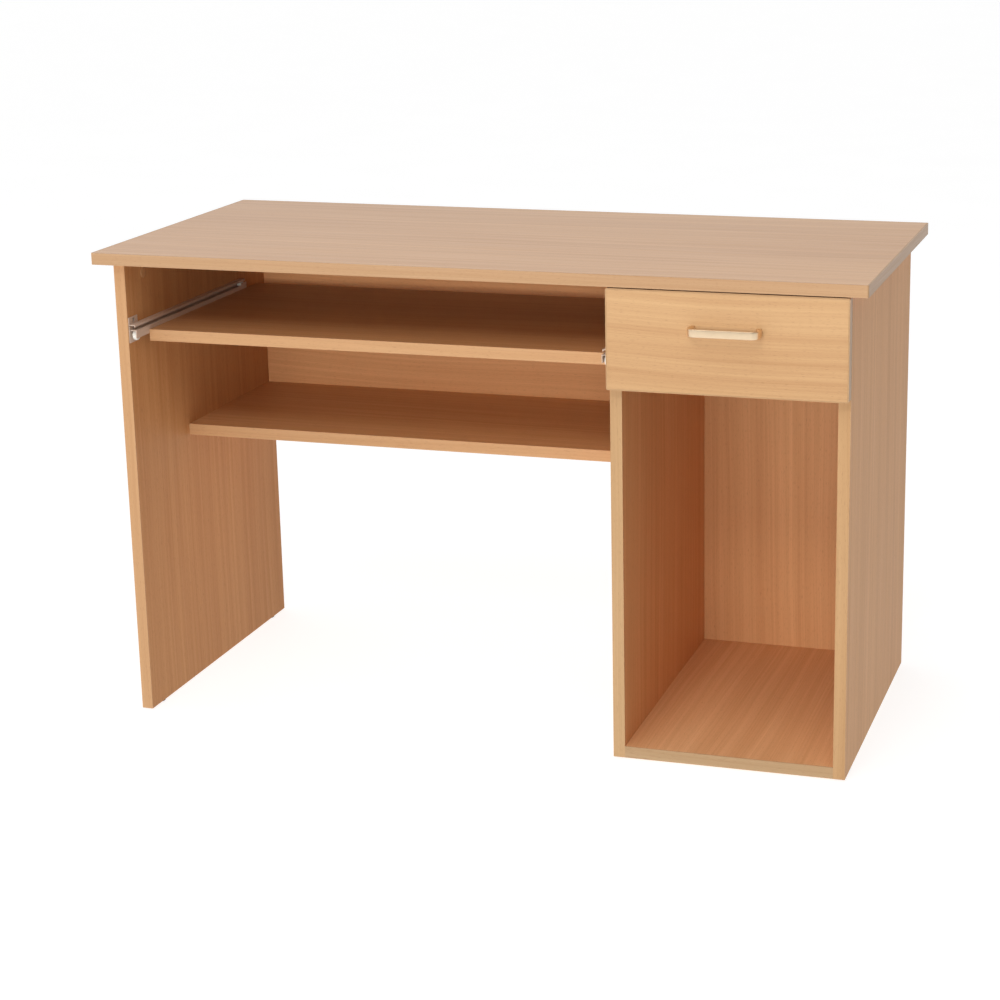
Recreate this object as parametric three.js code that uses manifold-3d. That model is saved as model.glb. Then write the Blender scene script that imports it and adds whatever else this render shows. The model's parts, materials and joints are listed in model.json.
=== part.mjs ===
// Computer desk with a sliding keyboard tray, a shelf and a pedestal with one drawer.
//
// Millimetres, +Z up. +X is to the right of someone sitting at the desk and -Y is towards them.
// The origin is on the floor, under the middle of the desk's bounding box.
//
// Inside this file x = 0 is the middle of the desktop, y = 0 is the plane of the side panels'
// front edges and z = 0 is the floor. The last lines move the finished desk onto its origin.

import * as THREE from "three";
import { mergeVertices } from "three/addons/utils/BufferGeometryUtils.js";
import Module from "manifold-3d";

const wasm = await Module();
wasm.setup();

// ---------------------------------------------------------------------------------------------
// Driving dimensions

const DESK_WIDTH = 1200;
const DESK_DEPTH = 550;
const DESK_HEIGHT = 750;

const BOARD = 18; // every panel of the carcass, the tray and the drawer's front
const DRAWER_BOARD = 12; // the drawer's sides and back
const HARDBOARD = 3; // the drawer's bottom
const THICK_BAND = 2; // plastic edging of the desktop, the tray and the drawer's front
const THIN_BAND = 1; // plastic edging of the other boards
const CORNER_RADIUS = 3; // outer corners of an edging that runs all round
const SEAM = 0.1; // gap between two pieces that touch

const SIDE_OVERHANG = 26; // desktop beyond the side panels
const FRONT_OVERHANG = 22; // desktop beyond the side panels' front edges
const REAR_OVERHANG = 8; // desktop beyond the side panels' rear edges
const PEDESTAL_WIDTH = 355;

const KEYBOARD_SPACE = 112; // between the tray's top and the desktop
const TRAY_SETBACK = 45; // tray's front edge behind the side panels' front edges
const TRAY_CABLE_GAP = 57; // between the tray and the panel behind it
const SHELF_SPACE = 170; // between the shelf's top and the tray
const SHELF_SETBACK = 186;

const DRAWER_FRONT_HEIGHT = 150;
const DRAWER_TOP_GAP = 2; // between the drawer's front and the desktop
const DRAWER_FRONT_GAP = 2; // between the drawer's front and the pedestal's front edges
const DRAWER_BOX_HEIGHT = 110;
const DRAWER_BOX_LIFT = 20; // bottom of the box above the bottom of the drawer's front
const DRAWER_BOTTOM_LIFT = 8; // underside of the hardboard above the bottom of the box
const GROOVE_DEPTH = 5;
const GROOVE_PLAY = 0.3;

// One pattern of roller slide carries the tray and the drawer. Its sizes are measured across from
// the panel it is screwed to, and up from the underside of the board that it carries.
const SLIDE_STEP = 50; // slides are made in lengths this far apart
const SLIDE_REAR_ROOM = 60; // least room left behind a slide
const SLIDE_SETBACK = 2; // fixed member behind the panels' front edges
const SLIDE_STEEL = 1.2;
const SLIDE_CLOSED_STEP = 1; // moving member's front end behind the fixed one's
const SLIDE_LOST_TRAVEL = 100; // slide's length less its travel
const SLIDE_FLANGE = 14; // width of the flange under the board
const CHANNEL_WIDTH = 11;
const RUNNING_GAP = 0.5; // across, between steel that slides past steel
const FLANGE_TOP = 24.6; // top of the moving member's running flange
const TONGUE_LOW = 12; // bottom of the moving member where it runs on in front of its flange
const FLANGE_SETBACK = 12; // its flange behind the front of the board on it
const NOSE_LENGTH = 28; // tall front end of the fixed member
const NOSE_LOW = 4;
const NOSE_HIGH = 44;
const CHANNEL_LIP = 2; // turned down along the channel's free edge
const ROLLER_RADIUS = 8;
const ROLLER_WIDTH = 7.6;
const FRONT_ROLLER_INSET = 12; // front roller's axis from the end of the fixed member
const REAR_ROLLER_INSET = 10; // rear roller's axis from the end of the moving member
const ROLLER_SIDE_ROOM = 2; // steel cut away beyond a roller
const ROLLER_START = 2.6; // roller's near face from the panel
const ROLLER_CHAMFER = 0.8;
const HUB_RIM = 1; // roller's hub beyond the rivet's head
const ROLLER_GAP = 0.15; // between the front roller and the flange that rolls over it
const TRACK_GAP = 0.3; // between the rear roller and each side of its track
const AXLE_RADIUS = 2;
const AXLE_PLAY = 0.25;
const RIVET_RADIUS = 3.4;
const RIVET_HEAD = 0.5;
const STOP_HEIGHT = 3.7; // of the tabs that stop the rear roller
const STOP_GAP = 0.7;

const HANDLE_SPACING = 96; // between the two handle screws
const HANDLE_LENGTH = 106;
const HANDLE_PROJECTION = 26;
const HANDLE_HEIGHT = 12;
const HANDLE_BAR = 5; // front to back
const HANDLE_LEG = 10;
const HANDLE_RADIUS = 13; // outer corners
const HANDLE_BEVEL = 1;
const HANDLE_DROP = 55; // handle's middle below the top of the drawer's front
const HANDLE_SCREW_RADIUS = 2;
const HANDLE_SCREW_GRIP = 9; // screw's length inside the handle's leg
const HANDLE_SCREW_HEAD_RADIUS = 4.2;
const HANDLE_SCREW_HEAD = 2.6;

const CAM_RADIUS = 7.5;
const CAM_BACK_WALL = 0.5; // of the cam, behind its bolt
const CAM_FROM_EDGE = 24; // cam's axis below the top edge of its panel
const CAM_INSET = 60; // from each end of that edge
const CAM_BORE = 4;
const CAM_SLOT_DEPTH = 5; // slot's end beyond the cam's axis
const BOLT_SHANK = 3.5;
const BOLT_NECK = 2.2;
const BOLT_THREAD = 2.8;
const BOLT_HEAD = 3.4;
const BOLT_HEAD_END = 3; // beyond the cam's axis
const BOLT_HEAD_TOP = 0.5;
const BOLT_HEAD_CHAMFER = 0.8;
const BOLT_TAPER = 1.5;
const BOLT_SHANK_GAP = 1; // between the cam and the bolt's shank
const BOLT_IN_TOP = 11; // thread's length inside the desktop
const BORE_PLAY = 0.3;
const OVERCUT = 1; // cutting tools run on this far outside the piece they cut

const GLIDE_RADIUS = 8;
const GLIDE_HEIGHT = 3;
const GLIDE_CHAMFER = 1;
const GLIDE_INSET = 45;
const NAIL_RADIUS = 1.2;
const NAIL_LENGTH = 12;
const NAIL_POINT = 2;

const ROUND_SEGMENTS = 24;
const CORNER_SEGMENTS = 3;
const HANDLE_SEGMENTS = 6;
const BEVEL_SEGMENTS = 2;

// ---------------------------------------------------------------------------------------------
// Planes and places that follow from them

const UNDERSIDE = DESK_HEIGHT - BOARD;
const PANEL_TOP = UNDERSIDE - SEAM;
const PANEL_REAR = DESK_DEPTH - FRONT_OVERHANG - REAR_OVERHANG;
const REAR_FACE = PANEL_REAR - BOARD; // front face of the boards that close the rear

const LEFT_OUTER = -DESK_WIDTH / 2 + SIDE_OVERHANG;
const LEFT_INNER = LEFT_OUTER + BOARD;
const RIGHT_OUTER = DESK_WIDTH / 2 - SIDE_OVERHANG;
const RIGHT_INNER = RIGHT_OUTER - BOARD;
const PEDESTAL_OUTER = RIGHT_OUTER - PEDESTAL_WIDTH;
const PEDESTAL_INNER = PEDESTAL_OUTER + BOARD;

// Across a slide, from the panel: its fixed channel, then the moving member's upright web.
const MOVING_WEB = CHANNEL_WIDTH + RUNNING_GAP;
const SLIDE_GAP = MOVING_WEB + SLIDE_STEEL + 2 * SEAM; // between a panel and the board that slides past

const TRAY_TOP = UNDERSIDE - KEYBOARD_SPACE;
const TRAY_BOTTOM = TRAY_TOP - BOARD;
const SHELF_TOP = TRAY_BOTTOM - SHELF_SPACE;
const SHELF_BOTTOM = SHELF_TOP - BOARD;

const DRAWER_FRONT_TOP = UNDERSIDE - DRAWER_TOP_GAP;
const DRAWER_FRONT_BOTTOM = DRAWER_FRONT_TOP - DRAWER_FRONT_HEIGHT;
const DRAWER_FRONT_REAR = -DRAWER_FRONT_GAP;
const DRAWER_FACE = DRAWER_FRONT_REAR - BOARD;
const BOX_BOTTOM = DRAWER_FRONT_BOTTOM + DRAWER_BOX_LIFT;
const BOX_TOP = BOX_BOTTOM + DRAWER_BOX_HEIGHT;
const BOX_LEFT = PEDESTAL_INNER + SLIDE_GAP;
const BOX_RIGHT = RIGHT_INNER - SLIDE_GAP;

const SLIDE_LENGTH = SLIDE_STEP * Math.floor((REAR_FACE - SLIDE_SETBACK - SLIDE_REAR_ROOM) / SLIDE_STEP);
const SLIDE_TRAVEL = SLIDE_LENGTH - SLIDE_LOST_TRAVEL;

const HANDLE_Z = DRAWER_FRONT_TOP - HANDLE_DROP;
const HANDLE_X = (PEDESTAL_OUTER + RIGHT_OUTER) / 2;

// ---------------------------------------------------------------------------------------------
// Materials

const finish = (color, roughness, metalness = 0) =>
  new THREE.MeshStandardMaterial({ color, roughness, metalness });

const melamine = finish(0xcfa578, 0.5);
const edging = finish(0xdcb083, 0.45);
const hardboard = finish(0xb98d62, 0.7);
const epoxySteel = finish(0xebe6dc, 0.4, 0.1);
const nylon = finish(0xf2efe8, 0.45);
const chrome = finish(0xdcdad6, 0.15, 1);
const zinc = finish(0xb8b8b4, 0.35, 1);
const glidePlastic = finish(0x6b5540, 0.55);

// ---------------------------------------------------------------------------------------------
// Solids

/** The closed solid of a three.js geometry, for joining and cutting. */
function solidOf(geometry) {
  const bare = geometry.clone();
  bare.deleteAttribute("normal");
  bare.deleteAttribute("uv");
  const merged = mergeVertices(bare);
  const vertProperties = Float32Array.from(merged.attributes.position.array);
  const triVerts = Uint32Array.from(merged.index.array);
  return new wasm.Manifold(new wasm.Mesh({ numProp: 3, vertProperties, triVerts }));
}

function geometryOf(solid) {
  const { vertProperties, triVerts } = solid.getMesh();
  const geometry = new THREE.BufferGeometry();
  geometry.setAttribute("position", new THREE.BufferAttribute(vertProperties, 3));
  geometry.setIndex(new THREE.BufferAttribute(triVerts, 1));
  geometry.computeVertexNormals();
  return geometry;
}

const join = (first, ...others) =>
  geometryOf(others.reduce((sum, next) => sum.add(solidOf(next)), solidOf(first)));

const cut = (base, tools) =>
  geometryOf(tools.reduce((rest, tool) => rest.subtract(solidOf(tool)), solidOf(base)));

/** A box between two limits along each axis. */
function box([x0, x1], [y0, y1], [z0, z1]) {
  const geometry = new THREE.BoxGeometry(x1 - x0, y1 - y0, z1 - z0);
  return geometry.translate((x0 + x1) / 2, (y0 + y1) / 2, (z0 + z1) / 2);
}

/** A round bar along one axis, from one point, over a signed length. */
function rod(axis, radius, [x, y, z], length) {
  const geometry = new THREE.CylinderGeometry(radius, radius, Math.abs(length), ROUND_SEGMENTS);
  geometry.translate(0, length / 2, 0);
  if (axis === "x") {
    geometry.rotateZ(-Math.PI / 2);
  }
  if (axis === "z") {
    geometry.rotateX(Math.PI / 2);
  }
  return geometry.translate(x, y, z);
}

/** A turned piece about Z, from [radius, height] points that start and end on the axis. */
function turned(points) {
  const profile = points.map(([radius, height]) => new THREE.Vector2(radius, height));
  return new THREE.LatheGeometry(profile, ROUND_SEGMENTS).rotateX(Math.PI / 2);
}

/** A rectangle with round corners, centred on the origin. */
function roundedOutline(width, height, radius) {
  const [x, y] = [width / 2, height / 2];
  const outline = new THREE.Shape();
  outline.moveTo(-x + radius, -y);
  outline.lineTo(x - radius, -y);
  outline.absarc(x - radius, -y + radius, radius, -Math.PI / 2, 0);
  outline.absarc(x - radius, y - radius, radius, 0, Math.PI / 2);
  outline.absarc(-x + radius, y - radius, radius, Math.PI / 2, Math.PI);
  outline.absarc(-x + radius, -y + radius, radius, Math.PI, 1.5 * Math.PI);
  return outline;
}

/** Edging that runs all round a board of this outer size, lying flat and centred. */
function edgingRing(width, height, thickness) {
  const outline = roundedOutline(width, height, CORNER_RADIUS);
  const [x, y] = [width / 2 - THICK_BAND, height / 2 - THICK_BAND];
  const opening = new THREE.Path();
  opening.moveTo(-x, -y);
  opening.lineTo(-x, y);
  opening.lineTo(x, y);
  opening.lineTo(x, -y);
  opening.closePath();
  outline.holes.push(opening);
  const geometry = new THREE.ExtrudeGeometry(outline, {
    depth: thickness,
    bevelEnabled: false,
    curveSegments: CORNER_SEGMENTS,
  });
  return geometry.translate(0, 0, -thickness / 2);
}

const desk = new THREE.Group();

/** Adds a named piece to a group, at a place. */
function piece(parent, name, geometry, material, [x, y, z] = [0, 0, 0]) {
  const mesh = new THREE.Mesh(geometry, material);
  mesh.name = name;
  mesh.position.set(x, y, z);
  parent.add(mesh);
}

/** Adds a flat board between limits, with cutting tools given in the desk's own frame. */
function board(name, xs, ys, zs, tools = [], material = melamine) {
  const centre = [xs, ys, zs].map(([low, high]) => (low + high) / 2);
  const local = [xs, ys, zs].map((limits, i) => limits.map((value) => value - centre[i]));
  const blank = box(...local);
  const moved = tools.map((tool) => tool.translate(...centre.map((value) => -value)));
  piece(desk, name, tools.length ? cut(blank, moved) : blank, material, centre);
}

// ---------------------------------------------------------------------------------------------
// Cam fasteners that pull the desktop onto the three upright panels

/** Each upright: its name, the face its cams are let into, and which way that face looks. */
const uprights = [
  { name: "left_side", face: LEFT_INNER, facing: 1 },
  { name: "pedestal_left", face: PEDESTAL_INNER, facing: 1 },
  { name: "pedestal_right", face: RIGHT_INNER, facing: -1 },
];
const camEnds = [
  { name: "front", y: CAM_INSET },
  { name: "rear", y: PANEL_REAR - CAM_INSET },
];
const CAM_Z = PANEL_TOP - CAM_FROM_EDGE;
const CAM_DEPTH = BOARD / 2 + CAM_BORE + CAM_BACK_WALL; // the bolt stands in the board's middle
const BOLT_TOP = UNDERSIDE + BOLT_IN_TOP;

function camPockets({ face, facing }) {
  const depth = CAM_DEPTH + OVERCUT + BORE_PLAY;
  return camEnds.flatMap(({ y }) => [
    rod("x", CAM_RADIUS + BORE_PLAY, [face + facing * OVERCUT, y, CAM_Z], -facing * depth),
    rod("z", CAM_BORE + BORE_PLAY, [face - (facing * BOARD) / 2, y, CAM_Z], CAM_FROM_EDGE + OVERCUT),
  ]);
}

function boltHolesInTop() {
  const length = OVERCUT + BOLT_IN_TOP + BORE_PLAY;
  return uprights.flatMap(({ face, facing }) => {
    const x = face - (facing * BOARD) / 2;
    return camEnds.map(({ y }) => rod("z", BOLT_THREAD + BORE_PLAY, [x, y, UNDERSIDE - OVERCUT], length));
  });
}

/** A cam, centred on its bolt, with the slot that takes the bolt's head. */
function camGeometry(facing) {
  const front = (facing * BOARD) / 2 - facing * SEAM;
  const body = rod("x", CAM_RADIUS, [front, 0, 0], -facing * CAM_DEPTH);
  const slot = rod("z", CAM_BORE, [0, 0, -CAM_SLOT_DEPTH], CAM_SLOT_DEPTH + CAM_RADIUS + OVERCUT);
  return cut(body, [slot]);
}

function boltGeometry() {
  const shoulder = PANEL_TOP - CAM_Z;
  const top = BOLT_TOP - CAM_Z;
  const shankStart = CAM_RADIUS + BOLT_SHANK_GAP + BOLT_TAPER;
  return turned([
    [0, -BOLT_HEAD_END],
    [BOLT_HEAD - BOLT_HEAD_CHAMFER, -BOLT_HEAD_END],
    [BOLT_HEAD, -BOLT_HEAD_END + BOLT_HEAD_CHAMFER],
    [BOLT_HEAD, BOLT_HEAD_TOP],
    [BOLT_NECK, BOLT_HEAD_TOP + BOLT_TAPER],
    [BOLT_NECK, shankStart - BOLT_TAPER],
    [BOLT_SHANK, shankStart],
    [BOLT_SHANK, shoulder],
    [BOLT_THREAD, shoulder],
    [BOLT_THREAD, top - BOLT_TAPER],
    [BOLT_NECK, top],
    [0, top],
  ]);
}

function addDesktopFasteners() {
  for (const { name, face, facing } of uprights) {
    for (const end of camEnds) {
      const place = [face - (facing * BOARD) / 2, end.y, CAM_Z];
      piece(desk, `cam_${name}_${end.name}`, camGeometry(facing), zinc, place);
      piece(desk, `cam_bolt_${name}_${end.name}`, boltGeometry(), zinc, place);
    }
  }
}

// ---------------------------------------------------------------------------------------------
// Glides under the upright panels

const glideEnds = [
  { name: "front", y: GLIDE_INSET },
  { name: "rear", y: PANEL_REAR - GLIDE_INSET },
];
const panelMiddles = {
  left_side: LEFT_OUTER + BOARD / 2,
  pedestal_left: PEDESTAL_OUTER + BOARD / 2,
  pedestal_right: RIGHT_OUTER - BOARD / 2,
};

function nailHoles(panel) {
  return glideEnds.map(({ y }) =>
    rod("z", NAIL_RADIUS + BORE_PLAY, [panelMiddles[panel], y, 0], GLIDE_HEIGHT + NAIL_LENGTH + OVERCUT),
  );
}

function addGlides() {
  const top = GLIDE_HEIGHT - SEAM;
  const profile = [
    [0, 0],
    [GLIDE_RADIUS - GLIDE_CHAMFER, 0],
    [GLIDE_RADIUS, GLIDE_CHAMFER],
    [GLIDE_RADIUS, top],
    [NAIL_RADIUS, top],
    [NAIL_RADIUS, top + NAIL_LENGTH - NAIL_POINT],
    [0, top + NAIL_LENGTH],
  ];
  for (const [panel, x] of Object.entries(panelMiddles)) {
    for (const end of glideEnds) {
      piece(desk, `glide_${panel}_${end.name}`, turned(profile), glidePlastic, [x, end.y, 0]);
    }
  }
}

// ---------------------------------------------------------------------------------------------
// Carcass

function addDesktop() {
  const half = DESK_WIDTH / 2 - THICK_BAND - SEAM;
  const front = -FRONT_OVERHANG + THICK_BAND + SEAM;
  const rear = PANEL_REAR + REAR_OVERHANG - THICK_BAND - SEAM;
  board("desktop", [-half, half], [front, rear], [UNDERSIDE, DESK_HEIGHT], boltHolesInTop());
  const middle = PANEL_REAR + REAR_OVERHANG - DESK_DEPTH / 2;
  const ring = edgingRing(DESK_WIDTH, DESK_DEPTH, BOARD);
  piece(desk, "desktop_edging", ring, edging, [0, middle, DESK_HEIGHT - BOARD / 2]);
}

/** An upright panel with its edging along the front. */
function addUpright(upright, outer, inner) {
  const xs = [Math.min(outer, inner), Math.max(outer, inner)];
  const zs = [GLIDE_HEIGHT, PANEL_TOP];
  const tools = [...camPockets(upright), ...nailHoles(upright.name)];
  board(`${upright.name}_panel`, xs, [THIN_BAND + SEAM, PANEL_REAR], zs, tools);
  board(`${upright.name}_edging`, xs, [0, THIN_BAND], zs, [], edging);
}

function addCarcass() {
  addDesktop();
  const [leftSide, pedestalLeft, pedestalRight] = uprights;
  addUpright(leftSide, LEFT_OUTER, LEFT_INNER);
  addUpright(pedestalLeft, PEDESTAL_OUTER, PEDESTAL_INNER);
  addUpright(pedestalRight, RIGHT_OUTER, RIGHT_INNER);

  const bay = [LEFT_INNER + SEAM, PEDESTAL_OUTER - SEAM];
  board("modesty_panel", bay, [REAR_FACE, PANEL_REAR], [SHELF_BOTTOM, PANEL_TOP]);
  const shelf = [SHELF_BOTTOM, SHELF_TOP];
  board("lower_shelf", bay, [SHELF_SETBACK + THIN_BAND + SEAM, REAR_FACE - SEAM], shelf);
  board("shelf_edging", bay, [SHELF_SETBACK, SHELF_SETBACK + THIN_BAND], shelf, [], edging);

  const inside = [PEDESTAL_INNER + SEAM, RIGHT_INNER - SEAM];
  const floor = [GLIDE_HEIGHT, GLIDE_HEIGHT + BOARD];
  board("pedestal_bottom", inside, [THIN_BAND + SEAM, PANEL_REAR], floor);
  board("pedestal_bottom_edging", inside, [0, THIN_BAND], floor, [], edging);
  board("pedestal_back", inside, [REAR_FACE, PANEL_REAR], [floor[1] + SEAM, PANEL_TOP]);
}

// ---------------------------------------------------------------------------------------------
// Keyboard tray

function addTray() {
  const xs = [LEFT_INNER + SLIDE_GAP, PEDESTAL_OUTER - SLIDE_GAP];
  const zs = [TRAY_BOTTOM, TRAY_TOP];
  board("keyboard_tray", xs, [TRAY_SETBACK + THICK_BAND + SEAM, REAR_FACE - TRAY_CABLE_GAP], zs);
  board("tray_edging", xs, [TRAY_SETBACK, TRAY_SETBACK + THICK_BAND], zs, [], edging);
}

// ---------------------------------------------------------------------------------------------
// Drawer

const handleScrewXs = [-HANDLE_SPACING / 2, HANDLE_SPACING / 2].map((offset) => HANDLE_X + offset);
const BOX_REAR = SLIDE_SETBACK + SLIDE_LENGTH;
const BOTTOM_Z = BOX_BOTTOM + DRAWER_BOTTOM_LIFT;

/** The groove for the hardboard, across whatever board it is cut from. */
function bottomGroove(xs, ys) {
  return box(xs, ys, [BOTTOM_Z - GROOVE_PLAY, BOTTOM_Z + HARDBOARD + GROOVE_PLAY]);
}

function addDrawer() {
  const faceXs = [PEDESTAL_OUTER, RIGHT_OUTER];
  const inset = THICK_BAND + SEAM;
  const innerLeft = BOX_LEFT + DRAWER_BOARD;
  const innerRight = BOX_RIGHT - DRAWER_BOARD;
  const grooveXs = [innerLeft - GROOVE_DEPTH, innerRight + GROOVE_DEPTH];
  const boxZs = [BOX_BOTTOM, BOX_TOP];
  const sideYs = [DRAWER_FRONT_REAR + SEAM, BOX_REAR];
  const frontGrooveYs = [DRAWER_FRONT_REAR - GROOVE_DEPTH, DRAWER_FRONT_REAR + OVERCUT];

  const screwHoles = handleScrewXs.map((x) =>
    rod("y", HANDLE_SCREW_RADIUS + BORE_PLAY, [x, DRAWER_FACE - OVERCUT, HANDLE_Z], BOARD + 2 * OVERCUT),
  );
  board(
    "drawer_front",
    [faceXs[0] + inset, faceXs[1] - inset],
    [DRAWER_FACE, DRAWER_FRONT_REAR],
    [DRAWER_FRONT_BOTTOM + inset, DRAWER_FRONT_TOP - inset],
    [...screwHoles, bottomGroove(grooveXs, frontGrooveYs)],
  );
  const ring = edgingRing(PEDESTAL_WIDTH, DRAWER_FRONT_HEIGHT, BOARD).rotateX(Math.PI / 2);
  const middleZ = DRAWER_FRONT_TOP - DRAWER_FRONT_HEIGHT / 2;
  const middle = [HANDLE_X, (DRAWER_FACE + DRAWER_FRONT_REAR) / 2, middleZ];
  piece(desk, "drawer_front_edging", ring, edging, middle);

  const groove = () => bottomGroove(grooveXs, [sideYs[0] - OVERCUT, sideYs[1] + OVERCUT]);
  board("drawer_side_left", [BOX_LEFT, innerLeft], sideYs, boxZs, [groove()]);
  board("drawer_side_right", [innerRight, BOX_RIGHT], sideYs, boxZs, [groove()]);
  board(
    "drawer_back",
    [innerLeft + SEAM, innerRight - SEAM],
    [BOX_REAR - DRAWER_BOARD, BOX_REAR],
    [BOTTOM_Z + HARDBOARD + GROOVE_PLAY, BOX_TOP],
  );
  board(
    "drawer_bottom",
    [grooveXs[0] + GROOVE_PLAY, grooveXs[1] - GROOVE_PLAY],
    [DRAWER_FRONT_REAR - GROOVE_DEPTH + GROOVE_PLAY, BOX_REAR],
    [BOTTOM_Z, BOTTOM_Z + HARDBOARD],
    [],
    hardboard,
  );
}

/** The bow handle seen from above: a bar on two legs, with round outer corners. */
function handleOutline() {
  const half = HANDLE_LENGTH / 2 - HANDLE_BEVEL;
  const front = -HANDLE_PROJECTION + HANDLE_BEVEL;
  const back = -SEAM - HANDLE_BEVEL;
  const leg = half - HANDLE_LEG + 2 * HANDLE_BEVEL;
  const bar = front + HANDLE_BAR - 2 * HANDLE_BEVEL;
  const inner = HANDLE_RADIUS / 2;
  const outline = new THREE.Shape();
  outline.moveTo(-half, back);
  outline.lineTo(-half, front + HANDLE_RADIUS);
  outline.absarc(-half + HANDLE_RADIUS, front + HANDLE_RADIUS, HANDLE_RADIUS, Math.PI, 1.5 * Math.PI);
  outline.absarc(half - HANDLE_RADIUS, front + HANDLE_RADIUS, HANDLE_RADIUS, -Math.PI / 2, 0);
  outline.lineTo(half, back);
  outline.lineTo(leg, back);
  outline.absarc(leg - inner, bar + inner, inner, 0, -Math.PI / 2, true);
  outline.absarc(-leg + inner, bar + inner, inner, -Math.PI / 2, -Math.PI, true);
  outline.lineTo(-leg, back);
  outline.closePath();
  return outline;
}

function addHandle() {
  const place = [HANDLE_X, DRAWER_FACE, HANDLE_Z];
  const bow = new THREE.ExtrudeGeometry(handleOutline(), {
    depth: HANDLE_HEIGHT - 2 * HANDLE_BEVEL,
    bevelThickness: HANDLE_BEVEL,
    bevelSize: HANDLE_BEVEL,
    bevelSegments: BEVEL_SEGMENTS,
    curveSegments: HANDLE_SEGMENTS,
  });
  bow.translate(0, 0, -HANDLE_HEIGHT / 2 + HANDLE_BEVEL);
  const threads = [-1, 1].map((side) =>
    rod(
      "y",
      HANDLE_SCREW_RADIUS + BORE_PLAY,
      [(side * HANDLE_SPACING) / 2, OVERCUT, 0],
      -(HANDLE_SCREW_GRIP + 2 * OVERCUT),
    ),
  );
  piece(desk, "handle", cut(bow, threads), chrome, place);

  const head = BOARD + SEAM;
  const screw = turned([
    [0, -HANDLE_SCREW_GRIP],
    [HANDLE_SCREW_RADIUS, -HANDLE_SCREW_GRIP],
    [HANDLE_SCREW_RADIUS, head],
    [HANDLE_SCREW_HEAD_RADIUS, head],
    [HANDLE_SCREW_HEAD_RADIUS, head + HANDLE_SCREW_HEAD / 2],
    [HANDLE_SCREW_HEAD_RADIUS / 2, head + HANDLE_SCREW_HEAD],
    [0, head + HANDLE_SCREW_HEAD],
  ]).rotateX(-Math.PI / 2);
  ["left", "right"].forEach((side, i) => {
    piece(desk, `handle_screw_${side}`, screw.clone(), zinc, [handleScrewXs[i], DRAWER_FACE, HANDLE_Z]);
  });
}

// ---------------------------------------------------------------------------------------------
// Roller slides
//
// A fixed channel on the panel carries a roller at its front. The moving member is a Z section
// beside and under its board, and carries a roller at its rear, which runs inside the channel.
// In a slide's own group, x is measured from the panel along `side`, y from the panels' front
// edges and z from the underside of the board.

const FLANGE_UNDER = FLANGE_TOP - SLIDE_STEEL;
const FRONT_ROLLER_Z = FLANGE_UNDER - ROLLER_GAP - ROLLER_RADIUS;
const REAR_ROLLER_Z = FLANGE_UNDER;
const TRACK_LOW = REAR_ROLLER_Z - ROLLER_RADIUS - TRACK_GAP;
const TRACK_HIGH = REAR_ROLLER_Z + ROLLER_RADIUS + TRACK_GAP;
const FIXED_YS = [SLIDE_SETBACK, SLIDE_SETBACK + SLIDE_LENGTH];
const MOVING_YS = FIXED_YS.map((y) => y + SLIDE_CLOSED_STEP);
const FRONT_ROLLER_Y = FIXED_YS[0] + FRONT_ROLLER_INSET;
const REAR_ROLLER_Y = MOVING_YS[1] - REAR_ROLLER_INSET;
const ROLLER_CLEAR = ROLLER_RADIUS + ROLLER_SIDE_ROOM;

/** A box of a slide, given outwards from the panel on the left (side 1) or right (side -1). */
function slideBox(side, [near, far], ys, zs) {
  return box(side > 0 ? [near, far] : [-far, -near], ys, zs);
}

/** A tab bent up from the channel's track that the rear roller comes to rest against. */
function stopTab(side, rollerY, direction) {
  const drop = REAR_ROLLER_Z - (TRACK_LOW + STOP_HEIGHT);
  const reach = Math.sqrt(ROLLER_RADIUS ** 2 - drop ** 2) + STOP_GAP;
  const face = rollerY + direction * reach;
  const ys = [face, face + direction * SLIDE_STEEL].sort((a, b) => a - b);
  return slideBox(side, [0, CHANNEL_WIDTH], ys, [TRACK_LOW - SLIDE_STEEL, TRACK_LOW + STOP_HEIGHT]);
}

function fixedMember(side) {
  const [front, rear] = FIXED_YS;
  const axle = [side * (SLIDE_STEEL / 2), FRONT_ROLLER_Y, FRONT_ROLLER_Z];
  const axleEnd = CHANNEL_WIDTH - SLIDE_STEEL / 2;
  const head = [side * (CHANNEL_WIDTH - RIVET_HEAD), FRONT_ROLLER_Y, FRONT_ROLLER_Z];
  const bottom = TRACK_LOW - SLIDE_STEEL;
  const top = TRACK_HIGH + SLIDE_STEEL;
  const lip = [CHANNEL_WIDTH - SLIDE_STEEL, CHANNEL_WIDTH];
  return join(
    slideBox(side, [0, SLIDE_STEEL], [front, rear], [bottom, top]),
    slideBox(side, [0, SLIDE_STEEL], [front, front + NOSE_LENGTH], [NOSE_LOW, NOSE_HIGH]),
    slideBox(side, [0, CHANNEL_WIDTH], [front, rear], [TRACK_HIGH, top]),
    slideBox(side, [0, CHANNEL_WIDTH], [FRONT_ROLLER_Y + ROLLER_CLEAR, rear], [bottom, TRACK_LOW]),
    slideBox(side, lip, [front, rear], [TRACK_HIGH - CHANNEL_LIP, top]),
    stopTab(side, REAR_ROLLER_Y, 1),
    stopTab(side, REAR_ROLLER_Y - SLIDE_TRAVEL, -1),
    rod("x", AXLE_RADIUS, axle, side * axleEnd),
    rod("x", RIVET_RADIUS, head, side * RIVET_HEAD),
  );
}

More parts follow.
